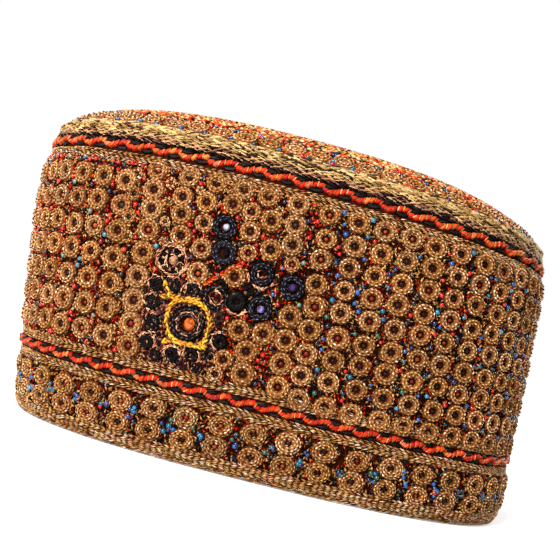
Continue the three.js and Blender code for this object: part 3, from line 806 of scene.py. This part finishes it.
# Rows of the braid from the lowest up: the surface each lies on, its level there, threads and width
BRAID = [(on_wall, 105.3, BLACK, 0.36), (on_wall, 106.2, DULL, 0.3), (on_wall, 107.1, DULL, 0.32),
         (on_wall, 108.0, PALE, 0.34), (on_wall, 108.9, PALE, 0.34), (on_wall, 109.8, PALE, 0.34),
         (on_crown, 0.5, PALE, 0.34), (on_crown, 1.4, PALE, 0.34), (on_crown, 2.3, PALE, 0.32)]
BRAID_CHAIN = {"depth": 0.4, "link": 3.5, "breadth": 1.15, "slants": (-0.26, 0.26), "spread": 0.22}
bodies = []
for surface, level, palette, width in BRAID:
    threads = chain_row(surface, level, BRAID_CHAIN["depth"], BRAID_CHAIN["link"],
                        BRAID_CHAIN["breadth"] * width, BRAID_CHAIN["slants"], strands)
    even_shares = np.full(len(palette), 1 / len(palette))
    tints = pick(palette, even_shares, len(threads), BRAID_CHAIN["spread"])
    bodies.append((threads, STRAND_FACES, tints, STRAND_CELL))
make_piece("shoulder_chains", join(bodies), gold_material, ["shoulder_braid"])

# The front motif in black: five padded rosettes, the medallion's core, a flower and a patch of small
# roundels, all in black chain stitch with a slight sheen over black padding, with loose stitches between.
# Rings of pale grey dashes and the lightest black are painted glints; the lightest warm black is pale
# thread specks and painted glints both.
# Painted glint: the pale dash colour in the rings of the black rosettes
PAINTED_GLINT = linear((108, 100, 118))[0]
# The lightest of the jets is a painted glint; the lightest of the warm jets is pale specks and painted glints
JETS = linear((16, 13, 16), (31, 27, 36), (10, 8, 10), (84, 78, 92))
WARM_JETS = linear((17, 13, 12), (34, 27, 22), (10, 8, 8), (132, 94, 64))
JET_SHARES = [0.31, 0.24, 0.21, 0.24]
ROUNDEL_HOLE = 0.35
# The medallion's two rings and the eye: middle, radius and hole
OPEN_RINGS = [(MEDALLION, 6.2, 4.2), (MEDALLION, 4.0, 2.6), (EYE, EYE_RADIUS, 2.5)]
PETALS = {"count": 8, "turn": 0.4, "reach": (3.4, 3.2), "radius": 1.3, "hole": 0.2}
SPECKS = linear((20, 17, 24), (46, 38, 48), (150, 92, 66), (112, 28, 18), (176, 128, 74))
SPECK_SHARES = [0.32, 0.18, 0.25, 0.12, 0.13]
SPECK = {"tries": 1500, "clear": 0.95, "core": 6.4}
SPECK_STITCH = {"lift": -0.6, "half_length": 0.95, "half_width": 0.36, "height": 0.45}


def black_rosette(middle, radius, hole, rings, palette):
    """One black rosette on the wall: groups of bodies to join."""
    half = np.array([(radius, radius)])
    return rosettes(on_wall, np.array(middle[:1]), np.array(middle[1:]), half, hole, rings, palette,
                    JET_SHARES, PAINTED_GLINT)


def flower_point(turn, reach):
    """A point of the flower, at a turn and a reach along and up from its middle."""
    return FLOWER[0] + reach[0] * math.cos(turn), FLOWER[1] + reach[1] * math.sin(turn)


bodies = []
for along, height, radius, hole in BLACK_ROSETTES:
    bodies += black_rosette((along, height), radius, hole, "lower", JETS)
for along, height, radius in ROUNDELS:
    bodies += black_rosette((along, height), radius, ROUNDEL_HOLE, "small", WARM_JETS)
for middle, radius, hole in OPEN_RINGS:
    bodies += black_rosette(middle, radius, hole, "field", WARM_JETS)
petal_turns = 2 * np.pi * (np.arange(PETALS["count"]) + PETALS["turn"]) / PETALS["count"]
for turn in petal_turns:
    middle = flower_point(turn, PETALS["reach"])
    bodies += black_rosette(middle, PETALS["radius"], PETALS["hole"], "small", WARM_JETS)
spots = PATCH_MIDDLE + PATCH_HALF * random.uniform(-1, 1, (SPECK["tries"], 2))
core = (*MEDALLION, SPECK["core"], SPECK["core"])
spots = spots[clearance(spots, np.concatenate([taken, [core]])) > SPECK["clear"]]
threads = loose_stitches(spots, **SPECK_STITCH)
bodies.append((threads, STITCH_FACES, pick(SPECKS, SPECK_SHARES, len(threads)), STITCH_CELL))
black_material = new_material("black_thread", thread_group, FIBRE, TINT_AND_RELIEF, Roughness=0.5,
                              Specular_IOR_Level=0.1)
black_nodes = ["medallion_core", "flower_rosette"]
black_nodes += [f"black_rosette_{number + 1}" for number in range(len(BLACK_ROSETTES))]
make_piece("motif_black", join(bodies), black_material, black_nodes)

# The medallion's yellow ring: one row of thick yellow chain stitch laid round the core, with its ends run out
# into horns at the corners. It is couched on top of the black work.
YELLOW = linear((198, 140, 18), (172, 112, 14), (218, 170, 38), (108, 60, 10))
YELLOW_SHARES = [0.38, 0.25, 0.22, 0.15]
YELLOW_RING = {"middle": (-29.8, 47.3), "half": (7.8, 7.4), "squareness": 2.5}
YELLOW_CHAIN = {"depth": 0.1, "link": 1.9, "width": 0.52}
HORNS = [[(-40.4, 59.4), (-38.8, 56.2), (-37.0, 54.4)], [(-40.9, 53.9), (-34.0, 54.8), (-26.6, 55.4)],
         [(-37.9, 38.5), (-36.4, 40.0), (-24.6, 40.2), (-22.3, 41.6)], [(-22.6, 40.0), (-24.0, 41.8)]]
PATH = {"look": 0.3, "slant": 0.35, "wobble": 0.1, "length": 0.75, "thickness": 1.2, "steps": 49}


def chain_path(spots, depth, link, width):
    """Chain stitch on the wall along a line of points, each a distance along it and a height."""
    spots = np.asarray(spots, float)
    run = np.concatenate([[0], np.cumsum(np.linalg.norm(np.diff(spots, axis=0), axis=1))])
    count = max(2, round(run[-1] / link))
    at = (np.arange(count) + 0.5) / count * run[-1]
    here, ahead, behind = (np.stack([np.interp(at + look, run, spots[:, k]) for k in (0, 1)], 1)
                           for look in (0, PATH["look"], -PATH["look"]))
    heading = np.arctan2(*(ahead - behind).T[::-1])
    bodies = []
    for leg in (-1, 1):
        side = CHAIN["apart"] * leg * width * np.stack([-np.sin(heading), np.cos(heading)], 1)
        place, right, up, out = seats(on_wall, *(here + side).T)
        angle = heading + leg * PATH["slant"] + random.normal(0, PATH["wobble"], count)
        bodies.append(strands(place - depth * out, right, up, out, angle, PATH["length"] * link, width,
                              PATH["thickness"] * width))
    return np.concatenate(bodies)


def oval_path(middle, half, squareness=2.0, start=0.0, end=360.0):
    """Points round an oval, from one angle to another in degrees."""
    turn = np.radians(np.linspace(start, end, PATH["steps"]))
    reach = (np.abs(np.cos(turn)) ** squareness + np.abs(np.sin(turn)) ** squareness) ** (-1 / squareness)
    x, y = half[0] * reach * np.cos(turn), half[1] * reach * np.sin(turn)
    return np.stack([middle[0] + x, middle[1] + y], 1)


paths = [oval_path(**YELLOW_RING)] + HORNS
threads = np.concatenate([chain_path(path, **YELLOW_CHAIN) for path in paths])
yellow_material = new_material("yellow_thread", thread_group, FIBRE, TINT_AND_RELIEF, Roughness=0.42,
                               Specular_IOR_Level=0.4)
bodies = [(threads, STRAND_FACES, pick(YELLOW, YELLOW_SHARES, len(threads)), STRAND_CELL)]
make_piece("motif_yellow", join(bodies), yellow_material, ["medallion_ring"])

# The motif's outlines: single rows of fine pink-gold chain stitch round the flower, between its petals, round
# the roundels and inside the medallion's core, and one red row that runs up to the right.
PINK = linear((206, 150, 112), (178, 108, 82), (222, 176, 132), (110, 46, 34), (28, 16, 16))
PINK_SHARES = [0.24, 0.14, 0.18, 0.16, 0.28]
# Arcs of outline: middle, radius, first and last angle
ARCS = [(FLOWER, FLOWER_RADIUS, 0, 360), (FLOWER, 5.0, 0, 360), (FLOWER, 2.2, 0, 360),
        (MEDALLION, 4.1, 0, 360), (EYE, 2.3, 0, 360), ((-43.2, 57.4), 3.0, 40, 230),
        ((-36.2, 58.4), 2.7, -40, 120), ((-29.6, 58.5), 2.8, 10, 190), ((-43.8, 51.2), 3.0, 100, 260),
        ((-42.8, 44.6), 3.2, 60, 300), ((-43.8, 37.6), 3.1, -30, 190), ((-34.0, 35.4), 3.0, 10, 190),
        ((-27.0, 36.9), 3.1, -40, 200), ((-17.6, 43.6), 3.2, 60, 300), ((-14.0, 58.2), 4.4, 190, 330),
        ((-6.7, 69.3), 4.9, 190, 350), ((-6.7, 69.3), 1.3, 0, 360)]
ARC_CHAIN = {"depth": 0.15, "link": 1.4, "width": 0.26}
SPOKE_CHAIN = {"depth": 0.3, "link": 1.1, "width": 0.19}
SPOKE_REACH = (2.6, 4.8)
RED_LINE = [(-26.4, 61.0), (-20.6, 66.0), (-14.6, 70.8)]
RED_CHAIN = {"depth": 0.1, "link": 1.7, "width": 0.42}
RED_SHADE = 0.75
outlines = [chain_path(oval_path(middle, (radius, radius), start=start, end=end), **ARC_CHAIN)
            for middle, radius, start, end in ARCS]
for turn in petal_turns + np.pi / PETALS["count"]:
    spoke = [flower_point(turn, (reach, reach)) for reach in SPOKE_REACH]
    outlines.append(chain_path(spoke, **SPOKE_CHAIN))
threads = np.concatenate(outlines)
red_row = chain_path(RED_LINE, **RED_CHAIN)
bodies = [(threads, STRAND_FACES, pick(PINK, PINK_SHARES, len(threads)), STRAND_CELL),
          (red_row, STRAND_FACES, RED_SHADE * pick(RED, RED_SHARES, len(red_row)), STRAND_CELL)]
make_piece("motif_outlines", join(bodies), gold_material)

# The stones and the pearl of the motif: cut glass on foil, glued and sewn into the middles of the medallion
# and of four black rosettes, and a pearly tan bead in the flower. Their cut shapes stay as they are. Each
# facet's colour is made lighter or darker at random, as painted glints and shade of the foil.
STONES = {"medallion_stone": (184, 78, 12), "crystal_clear": (150, 148, 164), "crystal_black": (16, 14, 20),
          "crystal_purple": (46, 33, 72), "crystal_violet": (100, 92, 138), "flower_pearl": (150, 104, 72)}
FOIL = {"Glass Color": (0.5, 0.5, 0.5, 1.0), "Facet Scale": 700.0}
foil_group, given, result = node_group("foil_glint", FOIL, TINT_AND_GLOSS)
where = add_node(foil_group, "NewGeometry")
facets = add_node(foil_group, "TexVoronoi",
                  {"Vector": where.outputs["Position"], "Scale": given.outputs["Facet Scale"]})
split = add_node(foil_group, "SeparateXYZ", {"Vector": facets.outputs["Color"]})
# Painted glints and shade: each facet's colour scaled lighter or darker at random
glint = add_node(foil_group, "MapRange", {"Value": split.outputs["X"]}, **{"To Min": 0.3, "To Max": 1.6})
gloss = add_node(foil_group, "MapRange", {"Value": split.outputs["Y"]}, **{"To Min": 0.03, "To Max": 0.14})
glass = add_node(foil_group, "VectorMath",
                 {0: given.outputs["Glass Color"], "Scale": glint.outputs["Result"]}, operation="SCALE")
put_out(foil_group, result, {"Base Color": glass.outputs["Vector"], "Roughness": gloss.outputs["Result"]})
for node_name, colour in STONES.items():
    own_values = {**FOIL, "Glass Color": (*linear(colour)[0], 1.0)}
    stone = new_material(node_name + "_glass", foil_group, own_values, TINT_AND_GLOSS, Specular_IOR_Level=0.3)
    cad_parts[node_name].data.materials.clear()
    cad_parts[node_name].data.materials.append(stone)

# The white room that the cap is shown in: an even backdrop and a pale floor, with a weak light all round, a
# soft key from above left and two weaker lamps behind. The camera is close and a little below the cap's
# middle, turned about its own axis so that the cap stands aslant.
CAMERA = {"focal": 876.78, "frame": 560, "distance": 374.4, "height": 58.55, "yaw": -0.0201, "pitch": 0.0412,
          "roll": 0.2423, "sensor": 36}
# Lamps: name, power in watts, size in metres and place
LAMPS = [("key", 16.6, 0.4, (-0.38, -0.67, 0.6)), ("left_back", 9.0, 0.6, (-0.7, 0.6, 0.45)),
         ("right_back", 9.0, 0.6, (0.75, 0.5, 0.4))]
LAMP_AIM = Vector((0, 0, 0.06))
ROOM_LIGHT, BACKDROP = 0.17, 1.0
FLOOR = {"radius": 6.0, "sides": 48, "height": -0.0002, "near": 0.1, "far": 0.5, "near_glow": 0.35,
         "far_glow": 1.0}
scene = bpy.context.scene
scene.view_settings.view_transform = "Standard"
scene.world = bpy.data.worlds.new("white_room")
scene.world.use_nodes = True
room = scene.world.node_tree
seen = add_node(room, "LightPath")
fade = add_node(room, "MapRange", {"Value": seen.outputs["Is Camera Ray"]},
                **{"To Min": ROOM_LIGHT, "To Max": BACKDROP})
room.links.new(fade.outputs["Result"], room.nodes["Background"].inputs["Strength"])
room.nodes["Background"].inputs["Color"].default_value = (1, 1, 1, 1)

for name, energy, size, location in LAMPS:
    lamp_data = bpy.data.lights.new(name, "AREA")
    lamp_data.energy = energy
    lamp_data.size = size
    lamp = bpy.data.objects.new(name, lamp_data)
    lamp.location = location
    lamp.rotation_mode = "QUATERNION"
    lamp.rotation_quaternion = (LAMP_AIM - lamp.location).to_track_quat("-Z", "Y")
    scene.collection.objects.link(lamp)

floor_mesh = bpy.data.meshes.new("floor")
rim = [2 * math.pi * k / FLOOR["sides"] for k in range(FLOOR["sides"])]
rim_points = [(FLOOR["radius"] * math.cos(a), FLOOR["radius"] * math.sin(a), FLOOR["height"]) for a in rim]
floor_mesh.from_pydata(rim_points, [], [tuple(range(FLOOR["sides"]))])
floor = bpy.data.objects.new("floor", floor_mesh)
scene.collection.objects.link(floor)
floor_material = bpy.data.materials.new("pale_floor")
floor_material.use_nodes = True
floor_tree = floor_material.node_tree
paint = floor_tree.nodes["Principled BSDF"]
paint.inputs["Base Color"].default_value = (0.9, 0.9, 0.9, 1)
paint.inputs["Roughness"].default_value = 0.8
paint.inputs["Emission Color"].default_value = (1, 1, 1, 1)
where = add_node(floor_tree, "NewGeometry")
away = add_node(floor_tree, "VectorMath", {0: where.outputs["Position"]}, operation="LENGTH")
glow = add_node(floor_tree, "MapRange", {"Value": away.outputs["Value"]},
                **{"From Min": FLOOR["near"], "From Max": FLOOR["far"], "To Min": FLOOR["near_glow"],
                   "To Max": FLOOR["far_glow"]})
seen = add_node(floor_tree, "LightPath")
shown = add_node(floor_tree, "Math", {0: glow.outputs["Result"], 1: seen.outputs["Is Camera Ray"]},
                 operation="MULTIPLY")
floor_tree.links.new(shown.outputs["Value"], paint.inputs["Emission Strength"])
floor_mesh.materials.append(floor_material)

yaw, pitch, roll = CAMERA["yaw"], CAMERA["pitch"], CAMERA["roll"]
forward = Vector((math.sin(yaw) * math.cos(pitch), math.cos(yaw) * math.cos(pitch), math.sin(pitch)))
level_right = Vector((math.cos(yaw), -math.sin(yaw), 0))
level_up = level_right.cross(forward)
right = math.cos(roll) * level_right + math.sin(roll) * level_up
up = -math.sin(roll) * level_right + math.cos(roll) * level_up
camera_data = bpy.data.cameras.new("camera")
camera_data.sensor_width = CAMERA["sensor"]
camera_data.lens = CAMERA["sensor"] * CAMERA["focal"] / CAMERA["frame"]
camera = bpy.data.objects.new("camera", camera_data)
camera.matrix_world = Matrix((right, up, -forward)).transposed().to_4x4()
camera.location = Vector(hem_middle + (0, -CAMERA["distance"], CAMERA["height"])) / MM
scene.collection.objects.link(camera)
scene.camera = camera
